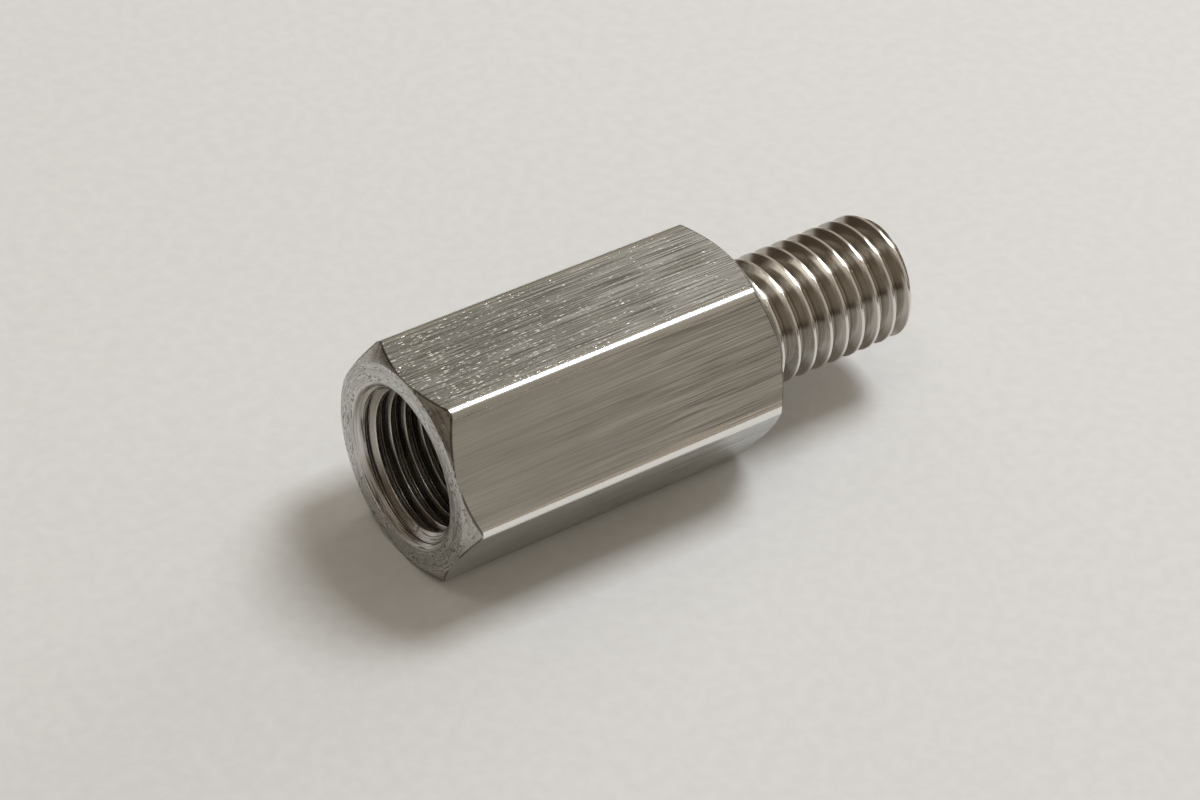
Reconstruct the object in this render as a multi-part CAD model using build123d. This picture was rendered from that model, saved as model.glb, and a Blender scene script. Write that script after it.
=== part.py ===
from build123d import *
from build123d.topology import SkipClean
import os
from math import ceil, cos, floor, pi, radians, tan

# Thread reducing adapter, turned from one length of stainless hexagon bar.
# It lies on one flat of the hexagon: the threaded bore opens towards -X and the threaded stud points to +X.
# The origin is on the supporting surface, under the middle of the part's length.

# Threaded bore, M12 x 1.25
bore_thread_diameter = 12.0
bore_pitch = 1.25
bore_start_angle = 193.0     # where the groove crosses the mouth's plane
tap_runout = 3.0             # plain drilled length past the last full thread
drill_point_angle = 118.0
countersink_margin = 0.7     # countersink diameter over the thread diameter
countersink_angle = 90.0

# Hexagon body, 16 across flats
bore_wall = 2.0              # from the thread's root to a flat
body_length = 28.0
end_wall = 9.8               # solid metal between the drill's point and the shoulder
corner_radius = 0.8          # rounded edges of the drawn bar
end_face_inset = 0.1         # from a flat to the circle where the end chamfer starts
end_chamfer_angle = 38.0     # between the chamfer cone and the end face

# Threaded stud, M10 x 1.5
stud_thread_diameter = 10.0
stud_pitch = 1.5
stud_start_angle = 250.0     # where the groove crosses the shoulder's plane
stud_length = 15.0
tip_chamfer = 0.7            # 45 degree chamfer at the tip
neck_width = 0.5             # relief ring between the shoulder and the thread
neck_undercut = 0.1          # how far the ring is cut below the thread's root

# Metric thread form: 60 degree flanks, with heights and crest widths as shares of the pitch
flank_angle = 30.0
stud_thread_height = 0.6134
stud_crest_width = 0.125
bore_thread_height = 0.5413
bore_crest_width = 0.25
groove_overshoot = 0.04      # how far a groove's mouth reaches past the crest

# The round blanks are drawn as short arcs, so each turn of a crest is a row of true cylinder faces
stud_arcs_per_turn = 6
bore_arcs_per_turn = 4
arc_offset_angle = 5.3       # turns the joints between the arcs away from the ends of the groove's turns

# A cutting tool reaches this far past the surface that it opens
tool_clearance = 0.5

bore_root_radius = bore_thread_diameter / 2
bore_crest_radius = bore_root_radius - bore_thread_height * bore_pitch
drill_point_height = bore_crest_radius / tan(radians(drill_point_angle / 2))
drill_depth = body_length - end_wall - drill_point_height
bore_thread_depth = drill_depth - tap_runout
across_flats = bore_thread_diameter + 2 * bore_wall
end_face_radius = across_flats / 2 - end_face_inset
stud_crest_radius = stud_thread_diameter / 2
stud_root_radius = stud_crest_radius - stud_thread_height * stud_pitch


def round_bar(radius, bottom, top, arcs, start_angle):
    """A round bar along Z whose wall is made of equal cylinder faces."""
    step = 360 / arcs
    wall = [
        Edge.make_circle(radius, start_angle=start_angle + i * step, end_angle=start_angle + (i + 1) * step)
        for i in range(arcs)
    ]
    return Solid.extrude(Face(Wire(wall)), (0, 0, top - bottom)).moved(Location((0, 0, bottom)))


def turned(points):
    """A solid of revolution about Z from a closed profile of (radius, height) points."""
    profile = Wire.make_polygon([Vector(radius, 0, height) for radius, height in points], close=True)
    return Solid.revolve(Face(profile), 360, Axis.Z)


def thread_groove(pitch, crest_radius, root_radius, crest_width, turns, start_angle):
    """The helical V groove of a right-hand thread about Z, as a row of one-turn cutters laid end to end.

    The groove starts one pitch below Z = 0 and crosses that plane at start_angle. Its root lies inside the crest
    on a stud and outside it in a bore.
    """
    outward = 1 if crest_radius > root_radius else -1
    slope = tan(radians(flank_angle))
    overshoot = groove_overshoot * pitch
    mouth_radius = crest_radius + outward * overshoot
    mouth_width = pitch * (1 - crest_width) + 2 * overshoot * slope
    root_width = mouth_width - 2 * abs(mouth_radius - root_radius) * slope
    section = Wire.make_polygon(
        [
            Vector(root_radius, 0, -root_width / 2),
            Vector(root_radius, 0, root_width / 2),
            Vector(mouth_radius, 0, mouth_width / 2),
            Vector(mouth_radius, 0, -mouth_width / 2),
        ],
        close=True,
    )
    one_turn = Solid.sweep(section, path=Edge.make_helix(pitch, pitch, root_radius), is_frenet=True)
    return [one_turn.moved(Location((0, 0, (i - 1) * pitch), (0, 0, start_angle))) for i in range(turns)]


def hexagon_body():
    """Rounded hexagon bar with both ends chamfered on the lathe, standing on its bore end."""
    outline = RegularPolygon(across_flats / 2, 6, major_radius=False, rotation=30)
    bar = extrude(fillet(outline.vertices(), corner_radius), body_length).solid()
    reach = across_flats / 2 / cos(pi / 6) + tool_clearance
    setback = (reach - end_face_radius) * tan(radians(end_chamfer_angle))
    lathe_outline = turned(
        [
            (0, 0),
            (end_face_radius, 0),
            (reach, setback),
            (reach, body_length - setback),
            (end_face_radius, body_length),
            (0, body_length),
        ]
    )
    return bar.intersect(lathe_outline).solid()


def bore_tools():
    """Drill, countersink and tap of the blind bore that opens at Z = 0."""
    first_arc = bore_start_angle + arc_offset_angle
    drill = round_bar(bore_crest_radius, -tool_clearance, drill_depth, bore_arcs_per_turn, first_arc)
    point = turned([(0, drill_depth), (bore_crest_radius, drill_depth), (0, drill_depth + drill_point_height)])
    slope = tan(radians(countersink_angle / 2))
    mouth_radius = (bore_thread_diameter + countersink_margin) / 2
    countersink = turned(
        [
            (0, -tool_clearance),
            (mouth_radius + tool_clearance * slope, -tool_clearance),
            (0, mouth_radius / slope),
        ]
    )
    turns = floor(bore_thread_depth / bore_pitch) + 1
    tap = thread_groove(
        bore_pitch, bore_crest_radius, bore_root_radius, bore_crest_width, turns, bore_start_angle
    )
    return [drill, point, countersink, *tap]


def threaded_stud():
    """Stud with its relief ring, tip chamfer and thread, standing on Z = 0."""
    first_arc = stud_start_angle + arc_offset_angle
    blank = round_bar(stud_crest_radius, 0, stud_length, stud_arcs_per_turn, first_arc)
    clear_radius = stud_crest_radius + tool_clearance
    neck_radius = stud_root_radius - neck_undercut
    neck = turned(
        [
            (neck_radius, -tool_clearance),
            (clear_radius, -tool_clearance),
            (clear_radius, neck_width),
            (neck_radius, neck_width),
        ]
    )
    tip = turned(
        [
            (stud_crest_radius - tip_chamfer - tool_clearance, stud_length + tool_clearance),
            (clear_radius, stud_length + tool_clearance),
            (clear_radius, stud_length - tip_chamfer - tool_clearance),
        ]
    )
    turns = ceil(stud_length / stud_pitch) + 2
    die = thread_groove(
        stud_pitch, stud_crest_radius, stud_root_radius, stud_crest_width, turns, stud_start_angle
    )
    return blank.cut(neck, tip, *die)


def adapter():
    """The whole adapter about Z, bore end down, then laid on a flat with its axis along X."""
    with SkipClean():
        body = hexagon_body().cut(*bore_tools())
        stud = threaded_stud().moved(Location((0, 0, body_length)))
        whole = body.fuse(stud).solid()
    middle = (body_length + stud_length) / 2
    return whole.moved(Location((0, 0, -middle))).moved(Location((0, 0, across_flats / 2), (0, 90, 0)))


os.makedirs("parts", exist_ok=True)
export_step(adapter(), "parts/adapter_body.step")
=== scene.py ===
# %% [markdown]
# # A thread reducing adapter in stainless steel
# A short piece of hexagon bar has a threaded hole in one end and a thinner threaded stud on the other, so
# that two machine parts with different threads can be joined. It lies on one of its flats, as it would on a
# bench. The exact shape was packed beforehand. Loading it first gives the frame that everything here is
# built in: metres, X along the thread axis, Z up, and the bench at Z = 0.

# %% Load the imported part
import bpy
from math import atan2, cos, pi, radians, sin, tan
from mathutils import Matrix, Vector


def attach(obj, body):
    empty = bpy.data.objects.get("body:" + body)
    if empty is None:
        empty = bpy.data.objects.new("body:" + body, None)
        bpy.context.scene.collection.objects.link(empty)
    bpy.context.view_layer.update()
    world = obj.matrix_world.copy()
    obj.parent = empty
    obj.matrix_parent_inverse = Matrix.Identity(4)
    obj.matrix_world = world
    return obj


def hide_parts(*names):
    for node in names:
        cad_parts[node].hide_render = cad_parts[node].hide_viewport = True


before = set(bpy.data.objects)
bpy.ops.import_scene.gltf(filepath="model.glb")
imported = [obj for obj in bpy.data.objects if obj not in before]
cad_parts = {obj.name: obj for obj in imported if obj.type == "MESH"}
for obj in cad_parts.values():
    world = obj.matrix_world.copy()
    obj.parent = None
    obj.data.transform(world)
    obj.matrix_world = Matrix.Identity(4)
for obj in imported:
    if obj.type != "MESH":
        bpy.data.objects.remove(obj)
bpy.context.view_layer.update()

# %% [markdown]
# ## The sizes
# The sizes are those of the part's drawing, in millimetres, and `MM` turns them into Blender's metres. They
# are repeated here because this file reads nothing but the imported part. The angle where each thread starts
# is given too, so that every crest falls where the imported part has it.

# %% Sizes of the part
MM = 0.001
FLATS = 16.0            # across the flats of the hexagon
BODY = (-21.5, 6.5)     # ends of the hexagon along X
TIP = 21.5              # end of the stud
CORNER = 0.8            # rounding of the bar's long edges
FACE_RADIUS = 7.9       # where the end chamfers start
CHAMFER_ANGLE = 38.0
NECK = (3.98, 7.0)      # radius of the relief ring, and where it ends
TIP_CHAMFER = 0.7       # 45 degree chamfer at the stud's end
MOUTH_RADIUS = 6.35     # countersink at the bore's face
DRILL_END = -6.5        # where the drilled wall ends, before the drill's point
DRILL_ANGLE = 118.0     # of the drill's point
THREAD_END = -9.8       # where the tapped thread ends
CENTRE = FLATS / 2      # height of the thread axis
EDGE_BREAK = 0.06       # width of the tiny rounding on edges that a tool has cut

print("whole length", TIP - BODY[0], "mm, thread axis", CENTRE, "mm above the bench")

# %% [markdown]
# ## Small helpers for the work in edit mode
# An operator acts on whatever is selected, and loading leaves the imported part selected. So every step first
# picks one object and nothing else. A modifier is added, set and applied in one go, because each step here
# is finished before the next begins.

# %% Pick one object, edit it, finish it
def pick(obj):
    """Select this object alone and make it active."""
    if bpy.context.mode != "OBJECT":
        bpy.ops.object.mode_set(mode="OBJECT")
    bpy.ops.object.select_all(action="DESELECT")
    obj.select_set(True)
    bpy.context.view_layer.objects.active = obj


def edit(obj, kind="VERT"):
    """Open one object in edit mode, with everything in it selected."""
    pick(obj)
    bpy.ops.object.mode_set(mode="EDIT")
    bpy.ops.mesh.select_mode(type=kind)
    bpy.ops.mesh.select_all(action="SELECT")


def done():
    """Leave edit mode and give back the object that was edited."""
    bpy.ops.object.mode_set(mode="OBJECT")
    return bpy.context.active_object


def settle(obj):
    """Move the object's place into its mesh, so that it sits at the origin unturned."""
    pick(obj)
    bpy.ops.object.transform_apply(location=True, rotation=True, scale=True)
    return obj


def apply(obj, kind, **settings):
    """Add a modifier, set it and apply it."""
    modifier = obj.modifiers.new(kind.title(), kind)
    for key, value in settings.items():
        setattr(modifier, key, value)
    pick(obj)
    bpy.ops.object.modifier_apply(modifier=modifier.name)
    return obj


print("selected after loading", len(bpy.context.selected_objects), "objects")

# %% [markdown]
# ## The hexagon bar
# The real body starts as drawn hexagon bar with slightly rounded long edges. A cylinder with six sides is
# that bar, stood on its end. Its long edges, which are chosen by how tall they are, get a bevel with the
# bar's own radius. A scaled cube would need its angles corrected, and a circle extruded by hand gives the
# same thing in more steps.

# %% Cut the bar to length and round its long edges
def select_tall_edges(obj):
    """Open one object in edit mode with only its upright edges selected."""
    edit(obj, "EDGE")
    bpy.ops.mesh.select_all(action="DESELECT")
    done()
    for line in obj.data.edges:
        one_end, other_end = (obj.data.vertices[i].co for i in line.vertices)
        line.select = abs(one_end.z - other_end.z) > MM
    pick(obj)
    bpy.ops.object.mode_set(mode="EDIT")
    bpy.ops.mesh.select_mode(type="EDGE")


def hexagon_bar():
    """The bar, made upright and then laid along X on one of its flats."""
    length = BODY[1] - BODY[0]
    corner_distance = FLATS / 2 / cos(pi / 6)
    bpy.ops.mesh.primitive_cylinder_add(
        vertices=6, radius=corner_distance * MM, depth=length * MM, location=(0, 0, 0)
    )
    bar = bpy.context.active_object
    bar.name = "adapter"
    select_tall_edges(bar)
    # a bevel's width is measured from the sharp edge, so the radius becomes a set-back on each flat
    bpy.ops.mesh.bevel(offset=CORNER * tan(pi / 6) * MM, offset_type="OFFSET", segments=8, profile=0.5)
    bar = done()
    bar.rotation_euler = (0, pi / 2, 0)
    bar.location = ((BODY[0] + BODY[1]) / 2 * MM, 0, CENTRE * MM)
    return settle(bar)


adapter = hexagon_bar()
print("bar", [round(v / MM, 3) for v in adapter.dimensions], len(adapter.data.polygons), "faces")

# %% [markdown]
# ## The chamfered ends
# On the lathe a tool takes the corners off at a slant, and the slanted cone meets each flat in a curved
# line. The same happens here: a round blank with two cones at its ends is made from its outline, and only
# what the bar and the blank share is kept. Bevelling the end edges instead would give straight, flat
# chamfers. The outline is drawn first, by extruding one point again and again.

# %% Draw an outline by extruding a point along it
def drawn(name, outline):
    """A wire in the plane above the axis, from (x, radius) points in millimetres."""
    bpy.ops.mesh.primitive_plane_add(size=MM, location=(0, 0, CENTRE * MM))
    wire = bpy.context.active_object
    wire.name = name
    edit(wire)
    bpy.ops.mesh.merge(type="CENTER")
    x, r = outline[0]
    bpy.ops.transform.translate(value=(x * MM, 0, r * MM))
    for next_x, next_r in outline[1:]:
        step = ((next_x - x) * MM, 0, (next_r - r) * MM)
        bpy.ops.mesh.extrude_region_move(TRANSFORM_OT_translate={"value": step})
        x, r = next_x, next_r
    return done()


# %% [markdown]
# A Screw modifier without any climb carries the outline once round the axis, as the lathe's turning does.
# Its last turn ends on its first, so the doubled points are merged, and then the faces are told which way
# is out. A boolean keeps what two solids share, joins them, or takes one away, and its tool is removed
# afterwards.

# %% Turn a blank from its outline, and cut with it
ROUND_STEPS = 144       # flat facets round a turned blank
SAME_POINT = 1e-6       # metres: points nearer than this are one


def turned_blank(outline):
    """A solid of revolution about the part's axis from (x, radius) points in millimetres."""
    blank = drawn("blank", outline)
    apply(blank, "SCREW", axis="X", steps=ROUND_STEPS, render_steps=ROUND_STEPS)
    edit(blank)
    bpy.ops.mesh.remove_doubles(threshold=SAME_POINT)
    bpy.ops.mesh.normals_make_consistent(inside=False)
    done()
    return settle(blank)


def cut_with(obj, tool, operation):
    """Boolean: join, cut or keep what is common, then remove the tool."""
    apply(obj, "BOOLEAN", object=tool, operation=operation, solver="EXACT")
    bpy.data.objects.remove(tool)
    return obj


reach = FLATS / 2 / cos(pi / 6) + 0.5       # past the hexagon's corners
setback = (reach - FACE_RADIUS) * tan(radians(CHAMFER_ANGLE))
cut_with(adapter, turned_blank([
    (BODY[0], 0), (BODY[0], FACE_RADIUS), (BODY[0] + setback, reach),
    (BODY[1] - setback, reach), (BODY[1], FACE_RADIUS), (BODY[1], 0),
]), "INTERSECT")
print("chamfered bar", len(adapter.data.polygons), "faces")

# %% [markdown]
# ## Broken edges
# The edges that the cutting tool leaves are not knife sharp: tumbling and handling break them by a few
# hundredths of a millimetre. That tiny rounding is what catches the light, so the chamfers' edges get a
# very narrow bevel. The modifier finds them by their angle, so none of them has to be selected.

# %% Break the sharp edges
apply(adapter, "BEVEL", width=EDGE_BREAK * MM, segments=2, limit_method="ANGLE", angle_limit=radians(18))
print("broken edges", len(adapter.data.polygons), "faces")

# %% [markdown]
# ## The threads
# A thread is one V-shaped profile carried round the axis while it moves along by one pitch per turn. The
# profile of a single pitch is drawn, with its corners rounded a little, and the Screw modifier carries it
# round. The stud's thread is such a body, and so is the tap that cuts the hole's thread. Rings stacked side
# by side would be quicker, but they don't lead a nut forward, and the eye sees that their crests don't
# climb.
#
# `start` and `start_at` say at which angle and place a groove crosses the end face, and `lead_in` is the
# part of a pitch from the outline's start to that place.

# %% The two threads
STUD = {
    "pitch": 1.5, "crest": 5.0, "root": 4.0799, "crest_width": 0.125, "crest_round": 0.07,
    "root_round": 0.2, "start": 250.0, "start_at": BODY[1], "lead_in": 0,
}
BORE = {
    "pitch": 1.25, "crest": 6.0, "root": 5.3234, "crest_width": 0.125, "crest_round": 0.04,
    "root_round": 0.05, "start": 193.0, "start_at": BODY[0], "lead_in": 0.5,
}
FLANK_ANGLE = 30.0
for name, thread in (("stud", STUD), ("bore", BORE)):
    print(name, "thread is", round(thread["crest"] - thread["root"], 3), "mm deep")

# %% [markdown]
# Each corner of the profile is replaced by a short arc. The arc's centre lies on the line that halves the
# corner, and the arc touches both of the corner's sides.

# %% Outline of one pitch, with its corners rounded
ARC_STEPS = 4


def rounded_corner(before, corner, after, radius):
    """Points of an arc that touches the lines from a corner to the points before and after it."""
    back, ahead = (before - corner).normalized(), (after - corner).normalized()
    half = back.angle(ahead) / 2
    middle = corner + (back + ahead).normalized() * (radius / sin(half))
    first_arm = corner + back * (radius / tan(half)) - middle
    last_arm = corner + ahead * (radius / tan(half)) - middle
    bend = atan2(first_arm.x * last_arm.y - first_arm.y * last_arm.x, first_arm.dot(last_arm))
    turns = [Matrix.Rotation(bend * k / ARC_STEPS, 2) for k in range(ARC_STEPS + 1)]
    return [tuple(middle + turn @ first_arm) for turn in turns]


def pitch_outline(thread):
    """(x, radius) points from the middle of one groove to the middle of the next, in millimetres."""
    pitch, crest, root = thread["pitch"], thread["crest"], thread["root"]
    half_crest = thread["crest_width"] * pitch / 2
    half_root = pitch / 2 - half_crest - (crest - root) * tan(radians(FLANK_ANGLE))
    points = [
        (0, root), (half_root, root), (pitch / 2 - half_crest, crest),
        (pitch / 2 + half_crest, crest), (pitch - half_root, root), (pitch, root),
    ]
    radii = [thread[part] for part in ("root_round", "crest_round", "crest_round", "root_round")]
    outline = [points[0]]
    for i, radius in enumerate(radii, 1):
        outline += rounded_corner(*(Vector(point) for point in points[i - 1:i + 2]), radius)
    return outline + [points[-1]]


print("stud outline starts", [(round(x, 3), round(r, 3)) for x, r in pitch_outline(STUD)][:4])

# %% [markdown]
# The rod starts some turns too early and ends too late, and two flat cuts bring it to length. A bisect with
# its fill on closes each cut with a face.

# %% Carry the outline round, and cut the rod to length
THREAD_STEPS = 120      # facets per turn
SPARE_TURNS = 3         # made past each end and cut away again


def threaded_rod(name, thread, first, last):
    """A right-hand threaded rod from one place along X to another."""
    pitch = thread["pitch"]
    turns_before = int((thread["start_at"] - first) / pitch) + SPARE_TURNS
    x0 = thread["start_at"] - (turns_before + thread["lead_in"]) * pitch
    rod = drawn(name, [(x0 + x, r) for x, r in pitch_outline(thread)])
    rod.data.transform(Matrix.Rotation(radians(thread["start"] + 180), 4, "X"))
    turns = int((last - x0) / pitch) + SPARE_TURNS
    apply(rod, "SCREW", axis="X", screw_offset=pitch * MM, iterations=turns, steps=THREAD_STEPS,
          render_steps=THREAD_STEPS)
    edit(rod)
    bpy.ops.mesh.remove_doubles(threshold=SAME_POINT)
    for x, at_start in ((first, True), (last, False)):
        bpy.ops.mesh.select_all(action="SELECT")
        bpy.ops.mesh.bisect(plane_co=(x * MM, 0, CENTRE * MM), plane_no=(1, 0, 0), threshold=1e-8,
                            use_fill=True, clear_inner=at_start, clear_outer=not at_start)
    bpy.ops.mesh.select_all(action="SELECT")
    bpy.ops.mesh.normals_make_consistent(inside=False)
    done()
    return settle(rod)


# %% [markdown]
# ## The stud
# The rod is cut a little too long at both ends, and a turned blank trims it, as a lathe would. The blank
# has a 45 degree nose, and a narrow relief ring below the thread's root, where the thread stops short of
# the shoulder. The stud reaches into the body a little way, because two solids that only touch don't join
# well.

# %% Make the stud and its relief ring
INTO_BODY = 0.5
CLEAR_RADIUS = 5.4                          # well outside the thread
nose_radius = STUD["crest"] - TIP_CHAMFER
nose_break = 0.75 * EDGE_BREAK              # how far back the nose's own edge starts to round

stud = threaded_rod("stud", STUD, BODY[1] - INTO_BODY - 0.2, TIP + 0.3)
cut_with(stud, turned_blank([
    (BODY[1] - INTO_BODY, 0), (BODY[1] - INTO_BODY, NECK[0]), (NECK[1], NECK[0]), (NECK[1], CLEAR_RADIUS),
    (TIP - (CLEAR_RADIUS - nose_radius), CLEAR_RADIUS), (TIP - nose_break, nose_radius + nose_break),
    (TIP, nose_radius - EDGE_BREAK), (TIP, 0),
]), "INTERSECT")
cut_with(adapter, stud, "UNION")
print("with its stud", [round(v / MM, 3) for v in adapter.dimensions], len(adapter.data.polygons), "faces")

# %% [markdown]
# ## The threaded hole
# In the workshop the hole is drilled, countersunk and then tapped. Here the tap goes first, as a threaded
# rod that is taken away from the body. One turned tool then clears the countersink and the drill's end.
# Between the two it is slimmer than the thread, so that it leaves the thread alone.

# %% Tap, countersink and drill
OUTSIDE = 0.35          # how far the tools start outside the face
MOUTH_BREAK = 0.035     # where the countersink's outer edge starts to round
SLIMMER = 0.12          # how much the tool clears the thread by
face, core = BODY[0], BORE["root"]

cut_with(adapter, threaded_rod("tap", BORE, face - 1, THREAD_END), "DIFFERENCE")
cut_with(adapter, turned_blank([
    (face - OUTSIDE, 0), (face - OUTSIDE, MOUTH_RADIUS + 0.9),
    (face + MOUTH_BREAK, MOUTH_RADIUS - MOUTH_BREAK),
    (face + MOUTH_RADIUS - core + SLIMMER, core - SLIMMER), (THREAD_END - 0.3, core - SLIMMER),
    (THREAD_END - 0.3, core + 0.02), (DRILL_END, core + 0.02),
    (DRILL_END + core / tan(radians(DRILL_ANGLE / 2)), 0),
]), "DIFFERENCE")
print("with its hole", len(adapter.data.polygons), "faces")

# %% [markdown]
# ## One closed skin
# Where many small faces meet, cutting leaves slivers a few thousandths of a millimetre long and now and then
# a missing triangle. Points that close are merged, and whatever is still open gets a face, so that the skin
# is closed as the real piece's is. Which of two close points stays depends on their order, and a boolean
# hands them over in any order. So they are sorted first, by their distance from a place beside the part, and
# every run gives the same skin.

# %% Close the skin
SLIVER = 4e-6           # metres
BESIDE = (0.1, 0.07, 0.05)

edit(adapter)
bpy.context.scene.cursor.location = BESIDE
bpy.ops.mesh.sort_elements(type="CURSOR_DISTANCE", elements={"VERT", "EDGE", "FACE"})
bpy.context.scene.cursor.location = (0, 0, 0)
bpy.ops.mesh.remove_doubles(threshold=SLIVER)
bpy.ops.mesh.dissolve_degenerate(threshold=SLIVER)
bpy.ops.mesh.select_all(action="DESELECT")
bpy.ops.mesh.select_non_manifold(
    use_wire=False, use_multi_face=False, use_non_contiguous=False, use_verts=False
)
bpy.ops.mesh.fill_holes(sides=0)
bpy.ops.mesh.select_all(action="DESELECT")
bpy.ops.mesh.select_non_manifold()
print("points on an open edge", sum(point.select for point in done().data.vertices))

# %% [markdown]
# ## Smooth where it curves, crisp where it was cut
# Faces that meet at a small angle are shaded as one curved surface, and steeper edges stay crisp. Weighted
# normals then keep the six flats truly flat up to their rounded corners, because each point takes its
# direction mostly from the largest face beside it.

# %% Shading
pick(adapter)
bpy.ops.object.shade_smooth_by_angle(angle=radians(32))
apply(adapter, "WEIGHTED_NORMAL", weight=80, keep_sharp=True)
print("smooth faces", sum(side.use_smooth for side in adapter.data.polygons))

# %% [markdown]
# ## Five finishes on one piece of steel
# Each tool leaves its own mark: the drawn flats have fine lines along the bar, the lathe leaves rings on the
# end faces, chamfers and countersink, and the threads have a painted highlight along their crests. So the
# faces are sorted by where they are and how they stand, and each kind gets its own material slot.

# %% Sort the faces by the tool that made them
FINISHES = ["drawn_flats", "turned_ends", "countersink", "stud_thread", "bore_thread"]


def finish_of(middle, normal):
    """The finish of a face, from its middle and the way it looks."""
    x = middle.x / MM
    radius = Vector((middle.y / MM, middle.z / MM - CENTRE)).length
    on_stud = x > BODY[1] + 0.01
    on_nose = x > TIP - TIP_CHAMFER - 0.2 and radius < STUD["crest"] and normal.x > 0.6
    from_mouth = abs((x - BODY[0]) - (MOUTH_RADIUS - radius))
    if on_stud:
        return "turned_ends" if on_nose else "stud_thread"
    if x < BODY[0] + 1.1 and from_mouth < 0.1 and normal.x < -0.4:
        return "countersink"
    if radius < BORE["crest"] + 0.05 and abs(normal.x) < 0.99:
        return "bore_thread"
    return "turned_ends" if abs(normal.x) > 0.5 else "drawn_flats"


count = dict.fromkeys(FINISHES, 0)
for side in adapter.data.polygons:
    kind = finish_of(side.center, side.normal)
    side.material_index = FINISHES.index(kind)
    count[kind] += 1
print("faces by finish", count)

# %% [markdown]
# ## Building a material with nodes
# A node material is a small graph. The first helper adds a node with its settings and its inputs, where an
# input may be a plain number or another node's output. Two more make the nodes that come up most: a sum or
# product, and a value stretched from one range to another.

# %% Node helpers
def add(tree, kind, inputs=None, **settings):
    """A node with its settings; inputs maps a socket's name or number to a value or to another socket."""
    node = tree.nodes.new("ShaderNode" + kind)
    for key, value in settings.items():
        setattr(node, key, value)
    for key, value in (inputs or {}).items():
        if isinstance(value, bpy.types.NodeSocket):
            tree.links.new(value, node.inputs[key])
        else:
            node.inputs[key].default_value = value
    return node


def math_node(tree, operation, a, b=0.0, c=0.0):
    """One sum, product or other operation on up to three values."""
    return add(tree, "Math", {0: a, 1: b, 2: c}, operation=operation).outputs[0]


def times(tree, a, b):
    return math_node(tree, "MULTIPLY", a, b)


def times_plus(tree, a, b, c):
    """a times b, plus c."""
    return math_node(tree, "MULTIPLY_ADD", a, b, c)


def ramp(tree, value, low, high, to_low=0.0, to_high=1.0):
    """A value stretched from one range to another, smoothly and without passing its ends."""
    return add(tree, "MapRange", {"Value": value, "From Min": low, "From Max": high, "To Min": to_low,
                                  "To Max": to_high}, interpolation_type="SMOOTHSTEP").outputs["Result"]


# %% [markdown]
# ## Effects as node groups
# An effect that several finishes use is made once, as a node group: a graph with named inputs and outputs
# that a material uses as one node. Here each group takes a place on the part, in millimetres from the
# thread axis, and gives a value between 0 and 1.

# %% Make a node group, and use it
def group(name, inputs, outputs):
    """An empty node group that takes a place and some values: its tree, inputs and output node."""
    tree = bpy.data.node_groups.new(name, "ShaderNodeTree")
    tree.interface.new_socket("Point", in_out="INPUT", socket_type="NodeSocketVector")
    for label, value in inputs.items():
        tree.interface.new_socket(label, in_out="INPUT", socket_type="NodeSocketFloat").default_value = value
    for label in outputs:
        tree.interface.new_socket(label, in_out="OUTPUT", socket_type="NodeSocketFloat")
    return tree, tree.nodes.new("NodeGroupInput").outputs, tree.nodes.new("NodeGroupOutput")


def use(tree, node_group, point, **values):
    """A group placed in a material, at a place and with its own values."""
    node = add(tree, "Group", node_tree=node_group)
    tree.links.new(point, node.inputs["Point"])
    for key, value in values.items():
        if isinstance(value, bpy.types.NodeSocket):
            tree.links.new(value, node.inputs[key])
        else:
            node.inputs[key].default_value = value
    return node.outputs


def squeezed(tree, point, along, across):
    """The point in a space with this many spots to the millimetre, along X and across it."""
    density = add(tree, "CombineXYZ", {"X": along, "Y": across, "Z": across}).outputs[0]
    return add(tree, "VectorMath", {0: point, 1: density}, operation="MULTIPLY").outputs[0]


def round_part(tree, point):
    """A point's X, its place across the thread axis, and its distance from that axis."""
    parts = add(tree, "SeparateXYZ", {0: point}).outputs
    flat = add(tree, "CombineXYZ", {"X": 0.0, "Y": parts["Y"], "Z": parts["Z"]}).outputs[0]
    radius = add(tree, "VectorMath", {0: flat}, operation="LENGTH").outputs["Value"]
    return parts["X"], flat, radius


# %% [markdown]
# ## Fine lines along the bar
# Drawing the bar through its die drags every grain along, so the lines are long in X and only hundredths of
# a millimetre wide. A noise pattern becomes such lines when its space is squeezed along X. A painted or
# photographed texture would do as well, but it would show its edges where it repeats.

# %% Group: lines along the bar
def make_long_lines():
    tree, given, out = group("long_lines", {"Width": 0.12, "Length": 6.0, "Detail": 3.0}, ["Lines"])
    across = math_node(tree, "DIVIDE", 1.0, given["Width"])
    along = math_node(tree, "DIVIDE", 1.0, given["Length"])
    place = squeezed(tree, given["Point"], along, across)
    noise = add(tree, "TexNoise", {"Vector": place, "Scale": 1.0, "Detail": given["Detail"],
                                   "Roughness": 0.6}).outputs[0]
    tree.links.new(ramp(tree, noise, 0.3, 0.7), out.inputs["Lines"])
    return tree


long_lines = make_long_lines()
print("group", long_lines.name, "takes", list(long_lines.interface.items_tree.keys()))

# %% [markdown]
# ## Rings from the lathe
# A lathe tool leaves rings round the axis. The distance from the axis is the main coordinate. A little of
# the place across the axis is added to it, which makes each ring break up into darker and lighter dashes as
# it goes round. On a cone the distance along the axis counts too, or a 45 degree countersink would get no
# rings.

# %% Group: rings round the axis
DEPTH_SHARE = 0.4       # how much a step along the axis counts beside a step away from it


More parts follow.
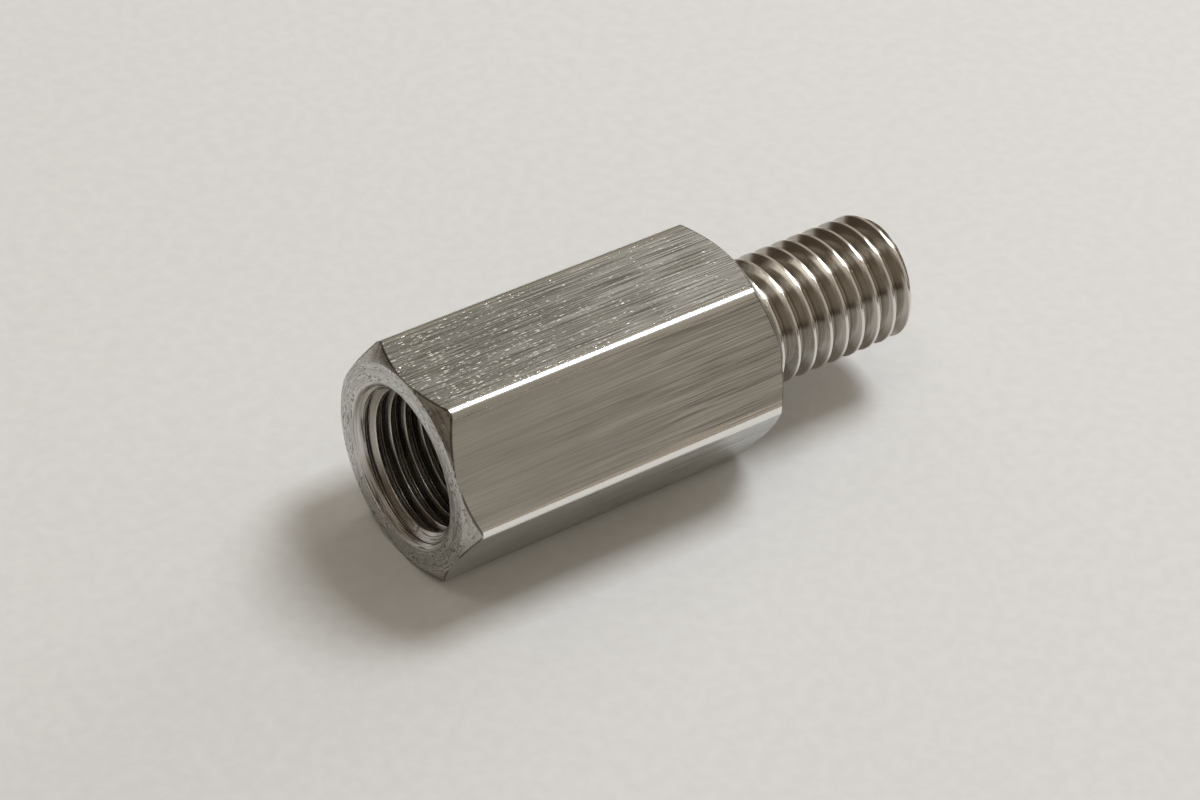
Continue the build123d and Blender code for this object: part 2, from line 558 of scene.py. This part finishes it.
def make_rings():
    tree, given, out = group("lathe_rings", {"Spacing": 0.12, "Breaks": 0.4}, ["Rings", "Radius"])
    x, flat, radius = round_part(tree, given["Point"])
    turned = add(tree, "VectorMath", {0: flat, "Scale": given["Breaks"]}, operation="SCALE").outputs[0]
    depth = math_node(tree, "DIVIDE", times_plus(tree, x, DEPTH_SHARE, radius), given["Spacing"])
    step = add(tree, "CombineXYZ", {"X": depth, "Y": 0.0, "Z": 0.0}).outputs[0]
    place = add(tree, "VectorMath", {0: step, 1: turned}, operation="ADD").outputs[0]
    noise = add(tree, "TexNoise", {"Vector": place, "Scale": 1.0, "Detail": 2.0, "Roughness": 0.55})
    tree.links.new(ramp(tree, noise.outputs[0], 0.32, 0.68), out.inputs["Rings"])
    tree.links.new(radius, out.inputs["Radius"])
    return tree


lathe_rings = make_rings()
print("group", lathe_rings.name, "has", len(lathe_rings.nodes), "nodes")

# %% [markdown]
# ## Pits and nicks
# Bar stock isn't perfect: small pits and short nicks lie in it, more in some places than in others. Each
# cell of a Voronoi pattern holds one nick, and a random number per cell decides how large it is or whether
# it shows. Plain noise would give clouds with soft edges instead.

# %% Group: pits and nicks
def make_nicks():
    tree, given, out = group("nicks", {"Size": 0.25, "Stretch": 3.0, "Amount": 0.4}, ["Nicks"])
    across = math_node(tree, "DIVIDE", 1.0, given["Size"])
    along = math_node(tree, "DIVIDE", across, given["Stretch"])
    place = squeezed(tree, given["Point"], along, across)
    cells = add(tree, "TexVoronoi", {"Vector": place, "Scale": 1.0, "Randomness": 1.0})
    chance = add(tree, "SeparateColor", {0: cells.outputs["Color"]}).outputs[0]
    size = times(tree, math_node(tree, "SUBTRACT", given["Amount"], chance), 0.6)
    inside = math_node(tree, "SUBTRACT", size, cells.outputs["Distance"])
    tree.links.new(ramp(tree, inside, -0.06, 0.06), out.inputs["Nicks"])
    return tree


nicks = make_nicks()
print("group", nicks.name, "has", len(nicks.nodes), "nodes")

# %% [markdown]
# ## How near a long edge is
# Handling rubs the long edges first, and the flats get a painted reflection along them. For a hexagon the
# distance to the nearest edge comes from three
# measures, one across each pair of flats: on a flat the largest is half the width, and the second largest
# says how near the corner is. This needs no selection and no painting, and it stays right if the bar gets
# longer.

# %% Group: closeness to the long edges
def make_edge_closeness():
    tree, given, out = group("edge_closeness", {"Reach": 1.2}, ["Rub", "Half width"])
    parts = add(tree, "SeparateXYZ", {0: given["Point"]}).outputs
    side = times(tree, parts["Y"], sin(pi / 3))
    half = times(tree, parts["Z"], 0.5)
    widths = [math_node(tree, "ABSOLUTE", across) for across in (
        parts["Z"], math_node(tree, "ADD", side, half), math_node(tree, "SUBTRACT", side, half),
    )]

    def of_all(operation):
        return math_node(tree, operation, math_node(tree, operation, widths[0], widths[1]), widths[2])

    biggest = of_all("MAXIMUM")
    others = math_node(tree, "SUBTRACT", of_all("ADD"), biggest)
    second = math_node(tree, "SUBTRACT", others, of_all("MINIMUM"))
    gap = math_node(tree, "SUBTRACT", biggest, second)
    nearness = math_node(tree, "DIVIDE", gap, given["Reach"])
    tree.links.new(ramp(tree, nearness, 0.0, 1.0, 1.0, 0.0), out.inputs["Rub"])
    tree.links.new(biggest, out.inputs["Half width"])
    return tree


edge_closeness = make_edge_closeness()
print("group", edge_closeness.name, "has", len(edge_closeness.nodes), "nodes")

# %% [markdown]
# ## The line where the chamfer meets the flats
# A thin dark line is laid along the curved edge that the lathe leaves where it cuts the flats. That edge is
# where the chamfer's cone passes, so its place follows from the distance to the bar's end and the distance
# from the axis.

# %% Group: seam along the chamfers
def make_chamfer_seam():
    tree, given, out = group("chamfer_seam", {"Width": 0.09}, ["Seam"])
    x, _, radius = round_part(tree, given["Point"])
    middle, half_length = (BODY[0] + BODY[1]) / 2, (BODY[1] - BODY[0]) / 2
    from_middle = math_node(tree, "ABSOLUTE", math_node(tree, "SUBTRACT", x, middle))
    from_end = math_node(tree, "SUBTRACT", half_length, from_middle)
    cone = times(tree, math_node(tree, "SUBTRACT", radius, FACE_RADIUS), tan(radians(CHAMFER_ANGLE)))
    inward = math_node(tree, "ABSOLUTE", math_node(tree, "SUBTRACT", from_end, cone))
    near = math_node(tree, "DIVIDE", inward, given["Width"])
    outside = ramp(tree, radius, FACE_RADIUS + 0.1, FACE_RADIUS + 0.25)
    tree.links.new(times(tree, ramp(tree, near, 1.3, 0.5), outside), out.inputs["Seam"])
    return tree


chamfer_seam = make_chamfer_seam()
print("groups", [made.name for made in bpy.data.node_groups])

# %% [markdown]
# ## A material to start from
# Every finish starts the same way: the object's own coordinates, turned into millimetres from the thread
# axis, and a fully metallic surface. What varies is fed into colour, roughness and a shallow bump. The bump
# only tilts the shading by a few thousandths of a millimetre: what can be seen as a shape is in the mesh.

# %% Start a steel, and finish it
def steel(name):
    """A metallic material: its tree, the place in millimetres from the axis, and the shader."""
    material = bpy.data.materials.new(name)
    material.use_nodes = True
    tree = material.node_tree
    shader = tree.nodes["Principled BSDF"]
    shader.inputs["Metallic"].default_value = 1.0
    place = add(tree, "Mapping", {"Vector": add(tree, "TexCoord").outputs["Object"],
                                  "Location": (0, 0, -CENTRE), "Scale": (1000, 1000, 1000)}).outputs[0]
    return tree, place, shader


def mix(tree, factor, a, b):
    """The colour between a and b."""
    node = add(tree, "Mix", data_type="RGBA")
    for socket, value in ((node.inputs[0], factor), (node.inputs[6], a), (node.inputs[7], b)):
        if isinstance(value, bpy.types.NodeSocket):
            tree.links.new(value, socket)
        else:
            socket.default_value = (*value, 1.0)
    return node.outputs[2]


def tint(tree, colour, mask, strength, target):
    """The colour taken part of the way to a target colour, where the mask is 1."""
    return mix(tree, times(tree, mask, strength), colour, target)


def finish(tree, shader, colour, roughness, height, depth):
    """Feed the shader: colour, roughness and a bump whose depth is in millimetres."""
    tree.links.new(colour, shader.inputs["Base Color"])
    tree.links.new(roughness, shader.inputs["Roughness"])
    bump = add(tree, "Bump", {"Strength": 1.0, "Distance": depth * MM, "Height": height})
    tree.links.new(bump.outputs["Normal"], shader.inputs["Normal"])
    print("finish with", len(tree.nodes), "nodes, bump", depth, "mm deep")


# %% [markdown]
# ## The drawn flats: brushed lines
# Coarse and fine lines together make the brushed look. They are strongest on the upper flat, faint near the
# bore end of the others, and all but gone on the rounded edges, where handling has polished them away.

# %% How light the lines are at a place
def brushed_tone(tree, place, line, up, near, edge):
    """Light and dark along the bar, around a middle of 0.5."""
    hair = use(tree, long_lines, place, Width=0.1, Length=5.0, Detail=1.0)["Lines"]
    band = use(tree, long_lines, place, Width=0.9, Length=30.0, Detail=2.0)["Lines"]
    tone = times_plus(tree, hair, 0.65, times(tree, line, 0.35))
    calm = times(tree, near, math_node(tree, "SUBTRACT", 1.0, up))
    depth = times_plus(tree, up, 0.55, times_plus(tree, calm, -0.45, 0.72))
    depth = times(tree, depth, times_plus(tree, edge, -0.85, 1.0))
    tone = times_plus(tree, math_node(tree, "SUBTRACT", tone, 0.5), depth, 0.5)
    return times_plus(tree, math_node(tree, "SUBTRACT", band, 0.5), 0.15, tone)


# %% [markdown]
# The upper flat is pitted near the bore end, and short scratches lie along the lines, with painted highlights
# as their glints. Broad soft patches make them gather in some places.

# %% Where the pits and the painted glints of the scratches are
def pits_and_dashes(tree, place, line, patch, up, near, on_flat, edge):
    crowd = times(tree, up, times_plus(tree, near, 0.25, 0.38))
    crowd = times(tree, times_plus(tree, patch, 0.3, crowd), on_flat)
    pits = use(tree, nicks, place, Size=0.14, Stretch=1.5, Amount=crowd)["Nicks"]
    dashes = use(tree, nicks, place, Size=0.1, Stretch=5.0, Amount=crowd)["Nicks"]
    dashes = times(tree, dashes, ramp(tree, line, 0.3, 0.6))
    return pits, times(tree, dashes, math_node(tree, "SUBTRACT", 1.0, edge))


# %% [markdown]
# The whole finish puts these together. Along each long edge the metal is worn smoother, and a lighter band
# with a ragged border is painted there as the reflection that the rounding catches; the two edges at half
# height have the widest such band.

# %% Material: drawn flats
def drawn_flats():
    tree, place, shader = steel("drawn_flats")
    parts = add(tree, "SeparateXYZ", {0: place}).outputs
    up = ramp(tree, parts["Z"], 7.0, 7.8)
    near = ramp(tree, parts["X"], 3.0, -17.0)
    patch = add(tree, "TexNoise", {"Vector": place, "Scale": 0.14, "Detail": 2.0}).outputs[0]
    line = use(tree, long_lines, place, Width=0.2, Length=16.0, Detail=3.0)["Lines"]
    hexagon = use(tree, edge_closeness, place, Reach=1.5)
    edge = ramp(tree, hexagon["Rub"], 0.75, 0.92)
    on_flat = ramp(tree, hexagon["Half width"], 7.98, 7.998)

    tone = brushed_tone(tree, place, line, up, near, edge)
    colour = mix(tree, tone, (0.3, 0.3, 0.29), (0.84, 0.84, 0.82))
    # painted shade: the upper flat is darker, and more so near the bore end
    shade = times(tree, up, times_plus(tree, near, 0.25, 0.3))
    colour = mix(tree, shade, colour, (0.06, 0.06, 0.045))
    colour = tint(tree, colour, ramp(tree, patch, 0.35, 0.65), 0.2, (0.44, 0.43, 0.4))

    pits, dashes = pits_and_dashes(tree, place, line, patch, up, near, on_flat, edge)
    colour = tint(tree, colour, pits, 0.65, (0.14, 0.135, 0.12))
    # painted highlight: the scratches along the lines are lit up as bright glints; they also shape the bump
    colour = tint(tree, colour, dashes, 0.8, (0.95, 0.93, 0.87))

    # painted reflection: a lighter band with a ragged border along each long edge, widest at half height; the
    # roughness is lower there too
    ragged = ramp(tree, times_plus(tree, line, 0.3, hexagon["Rub"]), 0.64, 0.88)
    half_height = ramp(tree, math_node(tree, "ABSOLUTE", parts["Z"]), 1.6, 1.2)
    rub_and_reflection = times(tree, ragged, times_plus(tree, half_height, 0.65, 0.3))
    colour = mix(tree, rub_and_reflection, colour, (0.92, 0.91, 0.88))
    seam = use(tree, chamfer_seam, place, Width=0.07)["Seam"]
    colour = tint(tree, colour, seam, 0.8, (0.09, 0.08, 0.07))

    rough = times_plus(tree, ragged, -0.08, times_plus(tree, tone, 0.12, 0.25))
    height = times_plus(tree, dashes, 0.8, math_node(tree, "SUBTRACT", tone, pits))
    finish(tree, shader, colour, rough, height, 0.004)


drawn_flats()

# %% [markdown]
# ## The turned ends and chamfers
# Here the lines run in rings. The end face is a little lighter than the flats, with rows of dark specks where
# the tool chattered. The chamfers are darker and browner, with a dark line where they meet the flats.

# %% Material: turned ends
def turned_ends():
    tree, place, shader = steel("turned_ends")
    fine = use(tree, lathe_rings, place, Spacing=0.11, Breaks=0.25)["Rings"]
    coarse = use(tree, lathe_rings, place, Spacing=0.35, Breaks=0.7)["Rings"]
    speck = use(tree, lathe_rings, place, Spacing=0.17, Breaks=3.0)
    dark = ramp(tree, times_plus(tree, coarse, 0.6, speck["Rings"]), 1.05, 1.3)
    tone = times_plus(tree, fine, 0.5, times(tree, coarse, 0.5))
    colour = mix(tree, tone, (0.34, 0.335, 0.32), (0.72, 0.715, 0.69))
    colour = tint(tree, colour, dark, 0.8, (0.12, 0.115, 0.1))

    chamfer = ramp(tree, speck["Radius"], 7.95, 8.15)
    half_width = use(tree, edge_closeness, place)["Half width"]
    seam = times(tree, ramp(tree, half_width, 7.84, 7.95), chamfer)
    # the chamfers are tinted darker and browner, with a dark line where they meet the flats
    colour = tint(tree, colour, chamfer, 0.4, (0.4, 0.36, 0.31))
    colour = tint(tree, colour, seam, 0.85, (0.08, 0.07, 0.06))
    rough = times_plus(tree, tone, 0.14, 0.24)
    finish(tree, shader, colour, rough, math_node(tree, "SUBTRACT", tone, dark), 0.005)


turned_ends()

# %% [markdown]
# ## The countersink
# The countersink was cut more roughly than the end face: its rings are coarser, and single scratches are
# deep enough to look dark.

# %% Material: countersink
def countersink():
    tree, place, shader = steel("countersink")
    fine = use(tree, lathe_rings, place, Spacing=0.06, Breaks=0.17)["Rings"]
    coarse = use(tree, lathe_rings, place, Spacing=0.1, Breaks=0.27)["Rings"]
    deep = ramp(tree, coarse, 0.72, 0.95)
    colour = mix(tree, fine, (0.38, 0.365, 0.35), (0.8, 0.775, 0.75))
    colour = tint(tree, colour, deep, 0.85, (0.1, 0.09, 0.08))
    rough = times_plus(tree, fine, 0.14, 0.2)
    finish(tree, shader, colour, rough, math_node(tree, "SUBTRACT", fine, deep), 0.006)


countersink()

# %% [markdown]
# ## The stud's thread
# A cut or rolled thread is smooth along its length and shows faint lines that run round with it. The crests
# are painted lighter, as a highlight, and the roots darker and browner, as painted shade. Both follow from
# the distance to the axis.

# %% Material: stud thread
def stud_thread():
    tree, place, shader = steel("stud_thread")
    rings = use(tree, lathe_rings, place, Spacing=0.06, Breaks=0.25)
    crest = ramp(tree, rings["Radius"], 4.9, 4.97)
    root = ramp(tree, rings["Radius"], 4.35, 4.12)
    patch = add(tree, "TexNoise", {"Vector": place, "Scale": 0.4, "Detail": 2.0}).outputs[0]
    colour = mix(tree, rings["Rings"], (0.41, 0.38, 0.34), (0.56, 0.53, 0.485))
    # painted shade: the roots are darker and browner
    colour = tint(tree, colour, root, 0.5, (0.15, 0.125, 0.1))
    # painted highlight: the crests are much lighter
    colour = tint(tree, colour, crest, 0.85, (0.85, 0.83, 0.8))
    finish(tree, shader, colour, times_plus(tree, patch, 0.06, 0.14), rings["Rings"], 0.0005)


stud_thread()

# %% [markdown]
# ## The hole's thread
# In the hole the crests are the innermost part of the thread, and they are painted lighter, as a highlight.
# Deeper in, the steel is painted darker and browner, as shade.

# %% Material: bore thread
def bore_thread():
    tree, place, shader = steel("bore_thread")
    rings = use(tree, lathe_rings, place, Spacing=0.06, Breaks=0.3)
    crest = ramp(tree, rings["Radius"], 5.45, 5.36)
    deep = ramp(tree, add(tree, "SeparateXYZ", {0: place}).outputs["X"], -20.5, -14.0)
    colour = mix(tree, rings["Rings"], (0.36, 0.335, 0.305), (0.48, 0.45, 0.41))
    # painted shade: darker and browner deeper in the hole
    colour = tint(tree, colour, deep, 0.45, (0.14, 0.125, 0.11))
    # painted highlight: the crests are lighter
    colour = tint(tree, colour, crest, 0.75, (0.7, 0.68, 0.64))
    finish(tree, shader, colour, times_plus(tree, rings["Rings"], 0.12, 0.18), rings["Rings"], 0.002)


bore_thread()

# %% [markdown]
# The faces already know their slot's number, so the materials only have to be added in the same order.

# %% Put the five materials on the adapter
for name in FINISHES:
    adapter.data.materials.append(bpy.data.materials[name])
slots = [side.material_index for side in adapter.data.polygons]
print("faces by slot", {made.name: slots.count(i) for i, made in enumerate(adapter.data.materials)})

# %% [markdown]
# ## The paper
# Polished metal shows its surroundings more than itself, so what it sees matters. White paper with a faint
# grain lies below. Far out of the picture a dark table begins, which the steel mirrors near the horizon.

# %% Paper and table
PAPER_EDGE = 0.17       # metres from the middle to where the darker table shows


def paper_and_table():
    material = bpy.data.materials.new("paper")
    material.use_nodes = True
    tree = material.node_tree
    shader = tree.nodes["Principled BSDF"]
    place = add(tree, "TexCoord").outputs["Object"]
    grain = add(tree, "TexNoise", {"Vector": place, "Scale": 900.0, "Detail": 3.0}).outputs[0]
    cloud = add(tree, "TexNoise", {"Vector": place, "Scale": 25.0, "Detail": 1.0}).outputs[0]
    tone = times_plus(tree, ramp(tree, grain, 0.3, 0.7), 0.7, times(tree, cloud, 0.3))
    white = mix(tree, tone, (0.622, 0.624, 0.624), (0.664, 0.666, 0.666))
    distance = add(tree, "VectorMath", {0: place}, operation="LENGTH").outputs["Value"]
    colour = mix(tree, ramp(tree, distance, PAPER_EDGE, PAPER_EDGE + 0.02), white, (0.09, 0.07, 0.055))
    tree.links.new(colour, shader.inputs["Base Color"])
    shader.inputs["Roughness"].default_value = 0.9
    return material


bpy.ops.mesh.primitive_plane_add(size=3, location=(0, 0, 0))
floor = bpy.context.active_object
floor.name = "floor"
floor.data.materials.append(paper_and_table())
print("floor", [round(v, 2) for v in floor.dimensions])

# %% [markdown]
# ## The room
# A calm, warm room lights the part from all around. It is darker near the horizon and overhead, and darkest
# on the far left, because that is what the steel in the photograph mirrors. A world made of one colour
# would make every flat look the same.

# %% The room's light
def room_light():
    world = bpy.data.worlds.new("room")
    bpy.context.scene.world = world
    world.use_nodes = True
    sky = world.node_tree
    way = add(sky, "TexCoord").outputs["Generated"]
    height = add(sky, "SeparateXYZ", {0: way}).outputs["Z"]
    left = add(sky, "VectorMath", {0: way, 1: (-0.92, 0.38, 0.0)}, operation="DOT_PRODUCT").outputs["Value"]
    colour = mix(sky, ramp(sky, height, 0.02, 0.3), (0.13, 0.1, 0.07), (0.45, 0.4, 0.33))
    colour = mix(sky, ramp(sky, height, 0.68, 0.95), colour, (0.25, 0.2, 0.145))
    shade = times(sky, ramp(sky, left, 0.35, 0.85), ramp(sky, height, 0.75, 0.3))
    colour = tint(sky, colour, shade, 0.9, (0.08, 0.055, 0.035))
    sky.links.new(colour, sky.nodes["Background"].inputs["Color"])


room_light()
bpy.context.scene.view_settings.view_transform = "Standard"
print("world", bpy.context.scene.world.name, "shown as", bpy.context.scene.view_settings.view_transform)

# %% [markdown]
# ## Aiming a lamp or the camera
# A lamp and a camera are both put at a place and turned towards what they look at. The turn is built from
# three directions: backwards, to the right and upwards. A camera may lean a little, as a hand-held one
# does.

# %% Aim
def aim(obj, place, target, lean=0.0):
    """Put a camera or lamp at a place, looking at a target, in metres; lean is in degrees."""
    back = (Vector(place) - Vector(target)).normalized()
    right = Vector((0, 0, 1)).cross(back).normalized()
    up = back.cross(right)
    c, s = cos(radians(lean)), sin(radians(lean))
    turn = Matrix((right * c + up * s, up * c - right * s, back)).transposed().to_4x4()
    turn.translation = place
    obj.matrix_world = turn


# %% [markdown]
# ## Lamps
# One large lamp, high up and slightly to the right, gives the soft shadow that falls towards the viewer's
# left, and the bright line along the upper edge. The others are faint: they only give the steel something
# bright to mirror at the sides.

# %% Four lamps
LAMP_DISTANCE = 0.9


def softbox(name, direction, size, power, colour):
    """A rectangular lamp in the given direction; size in metres, power in watts."""
    bpy.ops.object.light_add(type="AREA")
    lamp = bpy.context.active_object
    lamp.name = name
    lamp.data.shape = "RECTANGLE"
    lamp.data.size, lamp.data.size_y = size
    lamp.data.energy = power
    lamp.data.color = colour
    aim(lamp, Vector(direction).normalized() * LAMP_DISTANCE, (0, 0, 0))
    print("lamp", name, power, "W")


softbox("key", (0.47, 0.06, 0.875), (0.34, 0.34), 5.6, (0.95, 0.975, 1.0))
softbox("second window", (-0.36, -0.04, 0.93), (0.3, 0.14), 0.6, (1.0, 0.98, 0.95))
softbox("far lamp", (-0.5, -0.38, 0.78), (0.06, 0.06), 0.1, (1.0, 0.86, 0.6))
softbox("low window", (0.93, 0.27, 0.2), (0.4, 0.16), 2.2, (1.0, 0.96, 0.9))

# %% [markdown]
# ## Camera
# The camera looks down at about 40 degrees onto the end with the hole, from a little over a quarter of a
# metre. Its place comes from two angles round the point that it looks at.

# %% Camera
AZIMUTH, ELEVATION = radians(-128.01), radians(40.25)
CAMERA_DISTANCE = 265.46                    # millimetres
CAMERA_LEAN = 4.5                           # degrees
looked_at = Vector((-4.14, 0, 6.56)) * MM
backwards = Vector((cos(ELEVATION) * cos(AZIMUTH), cos(ELEVATION) * sin(AZIMUTH), sin(ELEVATION)))

bpy.ops.object.camera_add()
camera = bpy.context.active_object
camera.data.sensor_width = 36
camera.data.lens = 109.03
camera.data.clip_start = 0.01
aim(camera, looked_at + backwards * CAMERA_DISTANCE * MM, looked_at, CAMERA_LEAN)
bpy.context.scene.camera = camera
print("camera at", [round(v, 4) for v in camera.location])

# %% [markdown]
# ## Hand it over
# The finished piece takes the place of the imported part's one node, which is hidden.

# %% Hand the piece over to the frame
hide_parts("adapter_body")
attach(adapter, "root")
